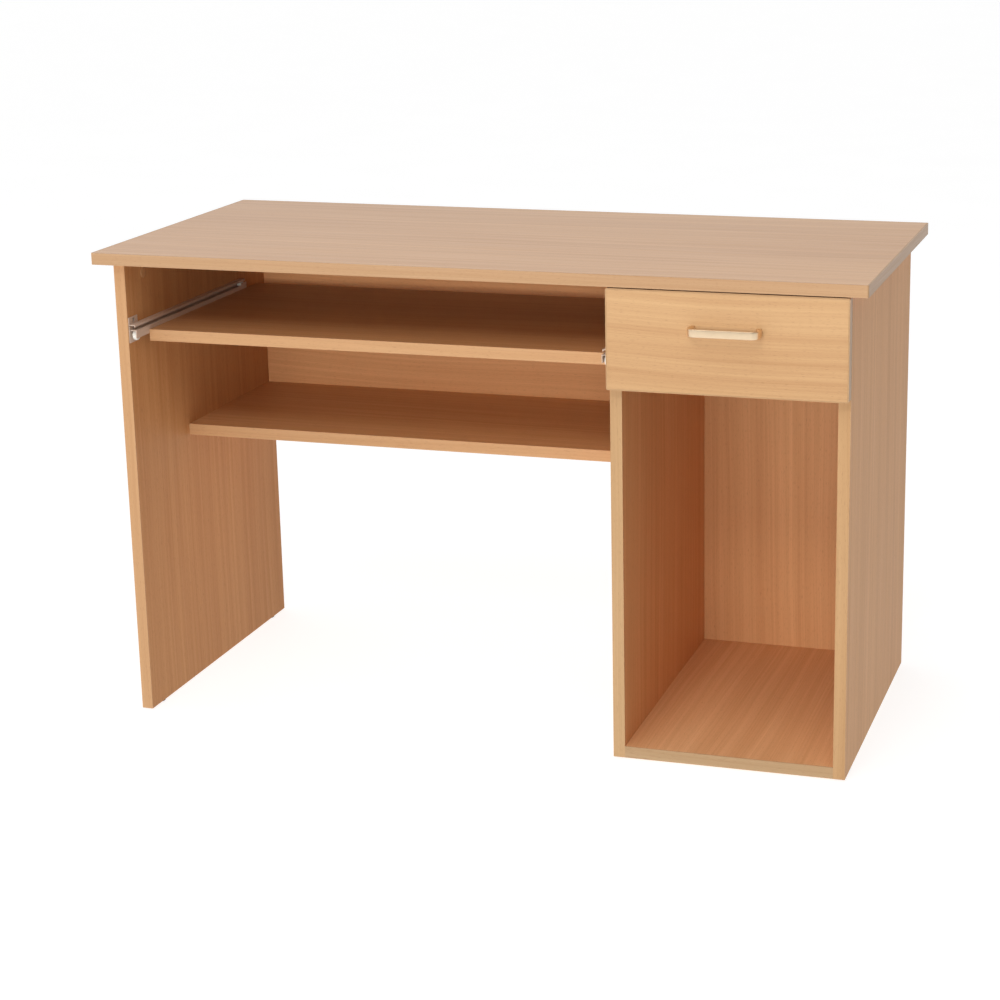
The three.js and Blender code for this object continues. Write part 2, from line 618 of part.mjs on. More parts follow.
/** In front of its flange, only a low tongue runs on to the member's end. */
function movingMember(side, boardFront) {
  const [front, rear] = MOVING_YS;
  const flangeFront = boardFront + FLANGE_SETBACK;
  const web = [MOVING_WEB, MOVING_WEB + SLIDE_STEEL];
  const underBoard = [MOVING_WEB, MOVING_WEB + SLIDE_STEEL + SLIDE_FLANGE];
  const running = [ROLLER_START, MOVING_WEB + SLIDE_STEEL];
  const axle = [side * (MOVING_WEB + SLIDE_STEEL / 2), REAR_ROLLER_Y, REAR_ROLLER_Z];
  const rivet = [side * (SLIDE_STEEL + RUNNING_GAP), REAR_ROLLER_Y, REAR_ROLLER_Z];
  const axleLength = MOVING_WEB - RUNNING_GAP - SLIDE_STEEL / 2;
  const rearTop = REAR_ROLLER_Z + RIVET_RADIUS + SLIDE_STEEL;
  return join(
    slideBox(side, web, [front, rear], [TONGUE_LOW, FLANGE_TOP]),
    slideBox(side, web, [flangeFront, rear], [-SLIDE_STEEL - SEAM, FLANGE_TOP]),
    slideBox(side, underBoard, [flangeFront, rear], [-SLIDE_STEEL - SEAM, -SEAM]),
    slideBox(side, running, [front, REAR_ROLLER_Y - ROLLER_CLEAR], [FLANGE_UNDER, FLANGE_TOP]),
    slideBox(side, web, [REAR_ROLLER_Y - ROLLER_CLEAR, rear], [FLANGE_UNDER, rearTop]),
    rod("x", AXLE_RADIUS, axle, -side * axleLength),
    rod("x", RIVET_RADIUS, rivet, side * RIVET_HEAD),
  );
}

/** A nylon roller about X, centred, with a hub a little wider than its tread. */
function rollerGeometry() {
  const half = ROLLER_WIDTH / 2;
  const bore = AXLE_RADIUS + AXLE_PLAY;
  const hub = RIVET_RADIUS + HUB_RIM;
  const points = [
    [bore, -half],
    [hub, -half],
    [hub, -half + ROLLER_CHAMFER],
    [ROLLER_RADIUS - ROLLER_CHAMFER, -half + ROLLER_CHAMFER],
    [ROLLER_RADIUS, -half + 2 * ROLLER_CHAMFER],
    [ROLLER_RADIUS, half - 2 * ROLLER_CHAMFER],
    [ROLLER_RADIUS - ROLLER_CHAMFER, half - ROLLER_CHAMFER],
    [hub, half - ROLLER_CHAMFER],
    [hub, half],
    [bore, half],
    [bore, -half],
  ];
  return turned(points).rotateY(Math.PI / 2);
}

function addSlide(name, side, panelFace, [boardFront, boardUnderside]) {
  const slide = new THREE.Group();
  slide.position.set(panelFace + side * SEAM, 0, boardUnderside);
  piece(slide, `${name}_fixed`, fixedMember(side), epoxySteel);
  piece(slide, `${name}_moving`, movingMember(side, boardFront), epoxySteel);
  const rollerX = side * (ROLLER_START + ROLLER_WIDTH / 2);
  piece(slide, `${name}_front_roller`, rollerGeometry(), nylon, [rollerX, FRONT_ROLLER_Y, FRONT_ROLLER_Z]);
  piece(slide, `${name}_rear_roller`, rollerGeometry(), nylon, [rollerX, REAR_ROLLER_Y, REAR_ROLLER_Z]);
  desk.add(slide);
}

// ---------------------------------------------------------------------------------------------
// The desk

addCarcass();
addDesktopFasteners();
addGlides();
addTray();
addDrawer();
addHandle();
const trayEdge = [TRAY_SETBACK, TRAY_BOTTOM];
const drawerEdge = [MOVING_YS[0], BOX_BOTTOM];
addSlide("tray_slide_left", 1, LEFT_INNER, trayEdge);
addSlide("tray_slide_right", -1, PEDESTAL_OUTER, trayEdge);
addSlide("drawer_slide_left", 1, PEDESTAL_INNER, drawerEdge);
addSlide("drawer_slide_right", -1, RIGHT_INNER, drawerEdge);

const frontmost = DRAWER_FACE - HANDLE_PROJECTION;
const rearmost = PANEL_REAR + REAR_OVERHANG;
desk.position.y = -(frontmost + rearmost) / 2;

export default desk;
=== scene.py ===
"""Looks for a beech computer desk with a keyboard tray and a drawer pedestal.

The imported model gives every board, slide and joint. This script gives them their surfaces, rounds
their edges, and adds the small pieces that are too fine for the model: the bow handle, smooth
rollers, screw heads and the covers of the fastener holes. Lengths are in metres.
"""

import json
import math
import random
import zlib

import bmesh
import bpy
from mathutils import Matrix, Vector


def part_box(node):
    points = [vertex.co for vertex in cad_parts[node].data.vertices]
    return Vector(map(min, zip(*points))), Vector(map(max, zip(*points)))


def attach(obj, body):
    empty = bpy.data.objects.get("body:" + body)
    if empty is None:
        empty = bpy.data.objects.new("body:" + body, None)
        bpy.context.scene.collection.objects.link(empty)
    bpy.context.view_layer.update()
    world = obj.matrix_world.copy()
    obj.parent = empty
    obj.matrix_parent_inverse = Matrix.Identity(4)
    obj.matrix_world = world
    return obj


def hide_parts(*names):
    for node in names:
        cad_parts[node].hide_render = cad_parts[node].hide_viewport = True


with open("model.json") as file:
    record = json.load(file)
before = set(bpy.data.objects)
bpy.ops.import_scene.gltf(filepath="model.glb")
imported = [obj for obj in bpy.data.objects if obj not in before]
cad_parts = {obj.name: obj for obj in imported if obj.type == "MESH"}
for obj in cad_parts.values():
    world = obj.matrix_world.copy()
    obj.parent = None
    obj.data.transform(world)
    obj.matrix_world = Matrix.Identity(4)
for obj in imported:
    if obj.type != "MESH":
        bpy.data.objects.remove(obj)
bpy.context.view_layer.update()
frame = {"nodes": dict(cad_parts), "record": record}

MM = 0.001
AXES = {"x": 0, "y": 1, "z": 2}


# ---------------------------------------------------------------------------------------------
# Camera

def add_camera():
    """Looks at the desk from a little above it and from its right, framed off centre."""
    position = Vector((1.1308, -3.3624, 1.3483))
    turn_left, tilt_down, roll = (math.radians(a) for a in (17.07, 14.86, -0.81))
    data = bpy.data.cameras.new("camera")
    data.sensor_width = 36.0
    data.lens = 82.57
    data.shift_x = -0.08
    data.shift_y = -0.05
    camera = bpy.data.objects.new("camera", data)
    bpy.context.scene.collection.objects.link(camera)
    look = Matrix.Rotation(turn_left, 4, "Z") @ Matrix.Rotation(math.pi / 2 - tilt_down, 4, "X")
    camera.matrix_world = Matrix.Translation(position) @ look @ Matrix.Rotation(roll, 4, "Z")
    bpy.context.scene.camera = camera


# ---------------------------------------------------------------------------------------------
# Shader building

class Shader:
    """A material's node tree. Each call adds a node and returns one of its outputs."""

    def __init__(self, name):
        self.material = bpy.data.materials.new(name)
        self.material.use_nodes = True
        self.tree = self.material.node_tree
        self.surface = self.tree.nodes["Principled BSDF"]

    def put(self, socket, value):
        if isinstance(value, bpy.types.NodeSocket):
            self.tree.links.new(value, socket)
        else:
            socket.default_value = value

    def node(self, kind, inputs=None, output=0, **settings):
        made = self.tree.nodes.new("ShaderNode" + kind)
        for key, value in settings.items():
            setattr(made, key, value)
        for key, value in (inputs or {}).items():
            self.put(made.inputs[key], value)
        return made.outputs[output]

    def place(self):
        """Where a point is on the piece, in metres, as x, y and z."""
        xyz = self.node("SeparateXYZ", {0: self.node("TexCoord", output="Object")}, "X")
        return [xyz.node.outputs[i] for i in range(3)]

    def vector(self, x, y, z):
        return self.node("CombineXYZ", {0: x, 1: y, 2: z})

    def math(self, operation, a, b=0.0):
        return self.node("Math", {0: a, 1: b}, operation=operation)

    def stretched(self, axes, scales, offsets=(0.0, 0.0, 0.0)):
        """The place, scaled along each axis and moved, for a pattern with a direction."""
        return self.vector(*(
            self.node("Math", {0: axis, 1: scale, 2: offset}, operation="MULTIPLY_ADD")
            for axis, scale, offset in zip(axes, scales, offsets)
        ))

    def unstretched(self):
        return self.stretched(self.place(), (1.0, 1.0, 1.0))

    def noise(self, vector, scale=1.0, detail=2.0, roughness=0.5, distortion=0.0):
        return self.node("TexNoise", {
            "Vector": vector, "Scale": scale, "Detail": detail,
            "Roughness": roughness, "Distortion": distortion,
        })

    def ramp(self, factor, low, high, start=0.0, end=1.0):
        """Goes from low to high as factor goes from start to end, and stays there beyond."""
        return self.node("MapRange", {0: factor, 1: low, 2: high, 3: start, 4: end})

    def mix(self, factor, a, b, blend="MIX"):
        return self.node("Mix", {0: factor, 6: a, 7: b}, output=2, data_type="RGBA", blend_type=blend)

    def bump(self, height, distance, strength=1.0, after=None):
        inputs = {"Height": height, "Distance": distance, "Strength": strength}
        if after is not None:
            inputs["Normal"] = after
        return self.node("Bump", inputs)

    def finish(self, **sockets):
        for key, value in sockets.items():
            self.put(self.surface.inputs[key.replace("_", " ")], value)
        return self.material


def rgb(r, g, b):
    """A colour given as on a screen, 0 to 255, in Blender's linear values."""
    def linear(c):
        c /= 255
        return c / 12.92 if c <= 0.04045 else ((c + 0.055) / 1.055) ** 2.4
    return (linear(r), linear(g), linear(b), 1.0)


# The print's usual colours: its light and dark grain, and its flecks.
BOARD_PRINT = ((219, 171, 122), (196, 144, 97), (150, 98, 60))
# The edging's print is darker than the boards' print: painted shade, which keeps its brightly lit
# faces from coming out too light.
EDGING_PRINT_AND_SHADE = ((209, 164, 120), (191, 143, 99), (156, 107, 68))

# How much lighter or darker each board's colour is made than the usual print, in red, green and blue.
# These factors are painted light and shade: they lighten or darken each board to stand in for
# light and shade that the lamps here don't give it.
PAINTED_LIGHT_AND_SHADE = {
    "left_side_panel": (0.84, 0.75, 0.65),
    "pedestal_left_panel": (1.15, 1.08, 1.04),
    "pedestal_right_panel": (1.14, 1.05, 0.9),
    "pedestal_back": (1.13, 1.1, 1.09),
    "pedestal_bottom": (1.22, 1.2, 1.24),
    "modesty_panel": (1.22, 1.16, 1.13),
    "keyboard_tray": (0.87, 0.86, 0.85),
    "drawer_front": (0.9, 0.96, 1.0),
    "desktop_edging": (0.9, 0.97, 1.08),
    "drawer_front_edging": (0.86, 0.92, 0.95),
    "pedestal_left_edging": (0.92, 1.0, 1.02),
    "pedestal_right_edging": (0.9, 0.93, 0.9),
    "pedestal_bottom_edging": (0.82, 0.94, 1.04),
}


def printed(name, colours):
    """The print's colours on one board, lightened or darkened by that board's painted light and shade.
    """
    light_and_shade = PAINTED_LIGHT_AND_SHADE.get(name, (1.0, 1.0, 1.0))
    return [tuple(c * t for c, t in zip(rgb(*colour), light_and_shade)) + (1.0,) for colour in colours]


# ---------------------------------------------------------------------------------------------
# Materials

def offsets_for(name):
    """A different stretch of the printed pattern for each board, the same on every run."""
    draw = random.Random(zlib.crc32(name.encode()))
    return [draw.uniform(-20, 20) for _ in range(3)]


def beech_pattern(s, axes, offsets, light, dark, fleck_colour):
    """Printed beech: slow tone, long fine streaks, a wavy figure and short dark flecks.

    axes are the place along the grain, across it, and through the board.
    """
    ox, oy, oz = offsets
    tone = s.noise(s.stretched(axes, (1.3, 7.0, 7.0), offsets), detail=2.0)
    sway = s.noise(s.stretched(axes, (1.1, 2.6, 2.6), (oy, oz, ox)), detail=1.0)
    across = s.node("Math", {0: sway, 1: 0.055, 2: axes[1]}, operation="MULTIPLY_ADD")
    figure = s.noise(s.stretched((axes[0], across, axes[2]), (0.5, 95.0, 20.0), offsets), detail=3.0)
    fine = s.stretched((axes[0], across, axes[2]), (3.2, 430.0, 430.0), (oz, ox, oy))
    streaks = s.noise(fine, detail=4.0, roughness=0.65)
    flecks = s.noise(s.stretched(axes, (120.0, 1250.0, 1250.0), offsets), detail=1.0, roughness=0.4)
    fleck = s.ramp(flecks, 0.62, 0.74)

    grain = s.math("ADD", s.math("MULTIPLY", figure, 0.55), s.math("MULTIPLY", streaks, 0.45))
    grain = s.math("ADD", s.math("MULTIPLY", grain, 0.72), s.math("MULTIPLY", tone, 0.28))
    colour = s.mix(s.ramp(grain, 0.36, 0.66), light, dark)
    colour = s.mix(s.math("MULTIPLY", fleck, 0.34), colour, fleck_colour)
    height = s.math("ADD", s.math("MULTIPLY", streaks, -0.5), s.math("MULTIPLY", fleck, -1.0))
    return colour, height, streaks


def chipboard_pattern(s):
    """The raw edge of a board: pressed chips of several browns, flat along the board."""
    vector = s.unstretched()
    chips = s.node("TexVoronoi", {"Vector": vector, "Scale": 620.0, "Randomness": 1.0}, output="Color")
    pick = s.node("SeparateColor", {0: chips})
    colour = s.mix(pick, rgb(156, 110, 72), rgb(208, 164, 118))
    pits = s.noise(vector, scale=900.0, detail=3.0)
    colour = s.mix(s.ramp(pits, 0.55, 0.7), colour, rgb(96, 62, 34))
    return colour, pits


def melamine(name, grain, across, through, raw_edges, smooth, specular):
    """Satin melamine-faced board with its grain along one axis and raw edges where not covered."""
    s = Shader(f"beech_{name}")
    place = s.place()
    axes = [place[AXES[a]] for a in (grain, across, through)]
    colour, height, streaks = beech_pattern(s, axes, offsets_for(name), *printed(name, BOARD_PRINT))
    emboss = s.noise(s.stretched(axes, (700.0, 1500.0, 1500.0)), detail=2.0)
    roughness = s.ramp(streaks, 0.3, 0.7, smooth, smooth + 0.12)
    relief = s.math("ADD", height, s.math("MULTIPLY", emboss, 0.6))
    if raw_edges:
        normal = s.node("SeparateXYZ", {0: s.node("TexCoord", output="Normal")}, "X").node
        facing = s.math("ABSOLUTE", normal.outputs[AXES[through]])
        edge = s.math("LESS_THAN", facing, 0.4)
        chips, pits = chipboard_pattern(s)
        colour = s.mix(edge, colour, chips)
        roughness = s.ramp(edge, 0.0, 1.0, roughness, 0.85)
        relief = s.math("ADD", relief, s.math("MULTIPLY", edge, s.math("MULTIPLY", pits, 6.0)))
    normal = s.bump(relief, 0.00006, 0.5)
    return s.finish(Base_Color=colour, Roughness=roughness, Normal=normal, Specular_IOR_Level=specular)


def edging(name, grain, across, turned=None):
    """Printed plastic edging, smoother than most boards and a little darker than them: the darkening
    is painted shade on its brightly lit faces.

    Where it runs all round a board, its grain turns along the axis `turned` on the other two sides.
    """
    s = Shader(f"edging_{name}")
    place = s.place()
    through = next(a for a in AXES if a not in (grain, across))
    axes = [place[AXES[a]] for a in (grain, across, through)]
    if turned:
        normal = s.node("SeparateXYZ", {0: s.node("TexCoord", output="Normal")}, "X").node
        side = s.math("GREATER_THAN", s.math("ABSOLUTE", normal.outputs[AXES[grain]]), 0.7)
        difference = s.math("SUBTRACT", axes[2], axes[0])
        along = s.node("Math", {0: difference, 1: side, 2: axes[0]}, operation="MULTIPLY_ADD")
        other = s.node("Math", {0: difference, 1: s.math("MULTIPLY", side, -1.0), 2: axes[2]},
                       operation="MULTIPLY_ADD")
        axes = [along, axes[1], other]
    colour, height, streaks = beech_pattern(s, axes, offsets_for(name), *printed(name, EDGING_PRINT_AND_SHADE))
    roughness = s.ramp(streaks, 0.3, 0.7, 0.34, 0.44)
    normal = s.bump(height, 0.00004, 0.4)
    return s.finish(Base_Color=colour, Roughness=roughness, Normal=normal, Specular_IOR_Level=0.2)


def hardboard():
    s = Shader("hardboard")
    place = s.place()
    fibres = s.noise(s.stretched(place, (260.0, 900.0, 900.0)), detail=5.0, roughness=0.7)
    clouds = s.noise(s.stretched(place, (14.0, 14.0, 14.0)), detail=3.0)
    colour = s.mix(fibres, rgb(138, 96, 60), rgb(186, 142, 100))
    colour = s.mix(s.math("MULTIPLY", clouds, 0.4), colour, rgb(120, 80, 48))
    roughness = s.ramp(fibres, 0.3, 0.7, 0.55, 0.75)
    return s.finish(Base_Color=colour, Roughness=roughness, Normal=s.bump(fibres, 0.0001, 0.5))


def epoxy_steel():
    """Cream powder coat: fine orange peel, and faint scuffs along the way the slides run."""
    s = Shader("epoxy_steel")
    peel = s.noise(s.unstretched(), scale=900.0, detail=2.0)
    scuff = s.noise(s.stretched(s.place(), (600.0, 16.0, 600.0)), detail=4.0, roughness=0.7)
    worn = s.ramp(scuff, 0.62, 0.74)
    colour = s.mix(s.math("MULTIPLY", worn, 0.35), rgb(202, 180, 162), rgb(168, 149, 133))
    roughness = s.ramp(scuff, 0.3, 0.7, 0.36, 0.52)
    normal = s.bump(peel, 0.00005, 0.35)
    return s.finish(Base_Color=colour, Roughness=roughness, Normal=normal, Specular_IOR_Level=0.3)


def nylon():
    s = Shader("nylon")
    cloud = s.noise(s.unstretched(), scale=240.0, detail=3.0)
    colour = s.mix(cloud, rgb(232, 228, 216), rgb(246, 244, 238))
    roughness = s.ramp(cloud, 0.3, 0.7, 0.34, 0.48)
    return s.finish(
        Base_Color=colour, Roughness=roughness, Normal=s.bump(cloud, 0.00005, 0.2),
        Subsurface_Weight=0.15, Subsurface_Radius=(0.002, 0.002, 0.0015),
    )


def satin_metal(name, light, dark, smooth, rough, direction):
    """Metal with fine scratches along one axis and a faint cloudiness."""
    s = Shader(name)
    scales = [60.0 if axis == direction else 3200.0 for axis in AXES]
    scratches = s.noise(s.stretched(s.place(), scales), detail=4.0, roughness=0.6)
    cloud = s.noise(s.unstretched(), scale=70.0, detail=2.0)
    colour = s.mix(cloud, light, dark)
    dullness = s.math("ADD", s.math("MULTIPLY", scratches, 0.7), s.math("MULTIPLY", cloud, 0.3))
    roughness = s.ramp(dullness, 0.3, 0.7, smooth, rough)
    return s.finish(
        Base_Color=colour, Roughness=roughness, Metallic=1.0, Normal=s.bump(scratches, 0.00002, 0.25),
    )


def moulded_plastic(name, light, dark):
    s = Shader(name)
    grain = s.noise(s.unstretched(), scale=1400.0, detail=2.0)
    cloud = s.noise(s.unstretched(), scale=90.0, detail=2.0)
    colour = s.mix(cloud, light, dark)
    roughness = s.ramp(grain, 0.3, 0.7, 0.42, 0.58)
    return s.finish(Base_Color=colour, Roughness=roughness, Normal=s.bump(grain, 0.00004, 0.4))


HARDBOARD = hardboard()
EPOXY = epoxy_steel()
NYLON = nylon()
# The handle's warm colour is partly its satin metal and partly a painted reflection of the beech
# around it.
HANDLE_METAL = satin_metal("handle_metal_painted_reflection", rgb(240, 215, 182), rgb(228, 203, 170), 0.3, 0.42, "x")
ZINC = satin_metal("zinc", rgb(206, 206, 202), rgb(176, 177, 174), 0.26, 0.42, "y")
GLIDE = moulded_plastic("glide_plastic", rgb(112, 88, 66), rgb(92, 71, 52))
# The caps are darker than the usual print: painted shade, matched to the boards' shaded inner faces.
CAP_PAINTED_SHADE = moulded_plastic("cap_plastic_painted_shade", rgb(196, 146, 100), rgb(184, 134, 88))


# ---------------------------------------------------------------------------------------------
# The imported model's own pieces

def dress(node, material):
    data = frame["nodes"][node].data
    data.materials.clear()
    data.materials.append(material)


def round_edges(node, width, segments=2, only=None):
    """Rounds a piece's edges: all of its sharp ones, or those between points that only(co) picks."""
    piece = frame["nodes"][node]
    modifier = piece.modifiers.new("rounded", "BEVEL")
    modifier.width = width
    modifier.segments = segments
    modifier.harden_normals = False
    modifier.use_clamp_overlap = True
    if only is None:
        modifier.limit_method = "ANGLE"
        modifier.angle_limit = math.radians(40)
        return
    group = piece.vertex_groups.new(name="rounded")
    group.add([v.index for v in piece.data.vertices if only(v.co)], 1.0, "REPLACE")
    modifier.limit_method = "VGROUP"
    modifier.vertex_group = "rounded"


# Each board's grain, the axis across it and the axis through the board.
BOARDS = {
    "desktop": "xyz",
    "left_side_panel": "zyx",
    "pedestal_left_panel": "zyx",
    "pedestal_right_panel": "zyx",
    "modesty_panel": "xzy",
    "lower_shelf": "xyz",
    "pedestal_bottom": "yxz",
    "pedestal_back": "zxy",
    "keyboard_tray": "xyz",
    "drawer_front": "xzy",
    "drawer_side_left": "yzx",
    "drawer_side_right": "yzx",
    "drawer_back": "xzy",
}
# How rough the smoothest part of a board's face is, and its specular level.
USUAL_SHEEN = (0.42, 0.32)
SHEENS = {
    "desktop": (0.30, 0.55),
    "left_side_panel": (0.5, 0.12),
    "pedestal_right_panel": (0.46, 0.2),
}
# Each edging's grain, the axis across it and, where it runs all round, the grain of its other sides.
EDGINGS = {
    "desktop_edging": "xzy",
    "left_side_edging": "zx",
    "pedestal_left_edging": "zx",
    "pedestal_right_edging": "zx",
    "shelf_edging": "xz",
    "pedestal_bottom_edging": "xz",
    "tray_edging": "xz",
    "drawer_front_edging": "xyz",
}


def dress_boards():
    for node, axes in BOARDS.items():
        raw_edges = not node.startswith("drawer")
        dress(node, melamine(node, *axes, raw_edges, *SHEENS.get(node, USUAL_SHEEN)))
    for node, axes in EDGINGS.items():
        dress(node, edging(node, *axes))
    dress("drawer_bottom", HARDBOARD)


def round_edgings():
    """Takes the outer corners off every edging, and leaves its glued side square."""
    slack = 0.05 * MM
    near_side, inner_low, inner_high = 1.95 * MM, 1.9 * MM, 2.1 * MM
    for node in EDGINGS:
        low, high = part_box(node)
        if node == "desktop_edging":
            flat = (0, 1)
            width = 1.2 * MM
        elif node == "drawer_front_edging":
            flat = (0, 2)
            width = 0.9 * MM
        else:
            round_edges(node, 0.6 * MM, 3, lambda co, front=low.y: co.y < front + slack)
            continue

        def outside(co, low=low, high=high, flat=flat):
            near = [min(co[i] - low[i], high[i] - co[i]) for i in flat]
            return min(near) < near_side and not all(inner_low < n < inner_high for n in near)
        round_edges(node, width, 3, outside)


def dress_hardware():
    for node in frame["nodes"]:
        if node.startswith("glide_"):
            dress(node, GLIDE)
            round_edges(node, 0.4 * MM)
        elif node.endswith(("_fixed", "_moving")):
            dress(node, EPOXY)
            round_edges(node, 0.25 * MM)
        elif node.startswith("cam_bolt_"):
            dress(node, ZINC)
        elif node.startswith("cam_"):
            dress(node, ZINC)
            round_edges(node, 0.3 * MM)
        elif node.startswith("handle_screw"):
            dress(node, ZINC)
            round_edges(node, 0.2 * MM)


# ---------------------------------------------------------------------------------------------
# New pieces

def new_piece(name, mesh, material, body):
    bmesh.ops.recalc_face_normals(mesh, faces=mesh.faces[:])
    data = bpy.data.meshes.new(name)
    mesh.to_mesh(data)
    mesh.free()
    data.materials.append(material)
    data.shade_smooth()
    data.set_sharp_from_angle(angle=math.radians(50))
    piece = bpy.data.objects.new(name, data)
    bpy.context.scene.collection.objects.link(piece)
    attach(piece, body)
    return piece


def lathe(mesh, profile, place, axis, segments=48):
    """Turns a closed profile of (radius, height) points about an axis, into mesh."""
    turn = Vector((0, 0, 1)).rotation_difference(Vector(axis)).to_matrix()
    rings = []
    for radius, height in profile:
        count = segments if radius > 0 else 1
        ring = []
        for i in range(count):
            angle = 2 * math.pi * i / segments
            point = Vector((radius * math.cos(angle), radius * math.sin(angle), height)) * MM
            ring.append(mesh.verts.new(turn @ point + Vector(place)))
        rings.append(ring)
    for a, b in zip(rings, rings[1:] + rings[:1]):
        if len(a) == 1 and len(b) == 1:
            continue
        for i in range(segments):
            j = (i + 1) % segments
            corners = [a[i % len(a)], a[j % len(a)], b[j % len(b)], b[i % len(b)]]
            mesh.faces.new(list(dict.fromkeys(corners)))


def rounded_rectangle(low, high, half, radius, steps=5):
    """Corner-rounded outline from low to high across and -half to half up, as (across, up)."""
    points = []
    left, right, top = low + radius, high - radius, half - radius
    for across, up, start in ((right, -top, -90), (right, top, 0), (left, top, 90), (left, -top, 180)):
        for i in range(steps + 1):
            angle = math.radians(start + 90 * i / steps)
            points.append((across + radius * math.cos(angle), up + radius * math.sin(angle)))
    return points


def add_handle():
    """A bow handle: one strap from the drawer's front, round a corner, along, and back."""
    low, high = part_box("handle")
    centre = (low + high) / 2
    half_length = (high.x - low.x) / 2 / MM
    projection = (high.y - low.y) / MM
    half_height = (high.z - low.z) / 2 / MM
    corner, bar, foot, edge_radius = 13.5, 4.6, 9.0, 1.7
    foot_gap, flare = 0.05, 1.6
    leg_steps, corner_steps, bar_steps = 4, 12, 6

    # Each place along the strap: across, out, the direction it faces, and its thickness.
    outer = [(half_length, foot_gap, (1, 0), foot)]
    for i in range(1, leg_steps + 1):
        along = i / leg_steps * (projection - corner)
        thickness = bar + (foot - bar) * (1 - i / leg_steps) ** flare
        outer.append((half_length, along, (1, 0), thickness))
    for i in range(1, corner_steps + 1):
        angle = math.radians(90 * i / corner_steps)
        outer.append((
            half_length - corner * (1 - math.cos(angle)), projection - corner * (1 - math.sin(angle)),
            (math.cos(angle), math.sin(angle)), bar,
        ))
    for i in range(1, bar_steps + 1):
        across = (half_length - corner) * (1 - i / bar_steps)
        outer.append((across, projection, (0, 1), bar))
    mirrored = [(-x, y, (-nx, ny), t) for x, y, (nx, ny), t in reversed(outer[:-1])]

    mesh = bmesh.new()
    rings = []
    for x, y, (nx, ny), thickness in outer + mirrored:
        ring = []
        for inward, up in rounded_rectangle(0, thickness, half_height, edge_radius):
            point = Vector((x - nx * inward, -(y - ny * inward), up)) * MM
            ring.append(mesh.verts.new(point + Vector((centre.x, high.y, centre.z))))
        rings.append(ring)
    for a, b in zip(rings, rings[1:]):
        for i in range(len(a)):
            j = (i + 1) % len(a)
            mesh.faces.new((a[i], a[j], b[j], b[i]))
    mesh.faces.new(rings[0])
    mesh.faces.new(rings[-1])
    piece = new_piece("bow_handle", mesh, HANDLE_METAL, "drawer")
    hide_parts("handle")


def add_rollers():
    """Nylon rollers with a crowned tread, a recessed web and a hub."""
    for node in sorted(frame["nodes"]):
        if not node.endswith("_roller"):
            continue
        low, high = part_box(node)
        centre = (low + high) / 2
        radius = (high.z - low.z) / 2 / MM
        half = (high.x - low.x) / 2 / MM
        rim, web = half - 0.8, half - 1.1
        one_side = [
            (2.25, half), (4.2, half), (4.5, half - 0.3), (4.6, web), (6.2, web), (6.4, rim),
            (7.2, rim), (7.7, web), (radius - 0.05, half - 1.8), (radius, 0),
        ]
        profile = one_side + [(r, -h) for r, h in reversed(one_side[:-1])]
        mesh = bmesh.new()
        lathe(mesh, profile, centre, (1, 0, 0))
        piece = new_piece(f"wheel_{node}", mesh, NYLON, body_of(node))
        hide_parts(node)


def body_of(node):
    bodies = frame["record"]["behaviour"]["bodies"]
    return next(body for body, nodes in bodies.items() if node in nodes)


def add_caps(name, places, axis):
    """Thin domed covers over the holes of the cam fasteners, beech coloured and darkened with painted
    shade like the shaded boards around them.
    """
    profile = [(0, 0.03), (8.7, 0.03), (8.9, 0.2), (8.7, 0.55), (7.9, 0.8), (4.0, 0.95), (0, 1.0)]
    mesh = bmesh.new()
    for place in places:
        lathe(mesh, profile, place, axis)
    new_piece(name, mesh, CAP_PAINTED_SHADE, "carcass")


def add_all_caps():
    for upright, facing in (("left_side", 1), ("pedestal_left", 1), ("pedestal_right", -1)):
        low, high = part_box(f"{upright}_panel")
        face = high.x if facing > 0 else low.x
        cams = [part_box(f"cam_{upright}_{end}") for end in ("front", "rear")]
        places = [Vector((face, (a.y + b.y) / 2, (a.z + b.z) / 2)) for a, b in cams]
        add_caps(f"cap_{upright}", places, (facing, 0, 0))

    in_from_end, in_from_edge = 34 * MM, 60 * MM
    for board in ("modesty_panel", "pedestal_back"):
        low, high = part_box(board)
        places = [
            Vector((x, high.y, z))
            for x in (low.x + in_from_end, high.x - in_from_end)
            for z in (low.z + in_from_edge, high.z - in_from_edge)
        ]
        add_caps(f"cap_{board}", places, (0, 1, 0))
    for board in ("lower_shelf", "pedestal_bottom"):
        low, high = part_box(board)
        places = [
            Vector((x, y, low.z))
            for x in (low.x + in_from_end, high.x - in_from_end)
            for y in (low.y + in_from_edge, high.y - in_from_edge)
        ]
        add_caps(f"cap_{board}", places, (0, 0, -1))


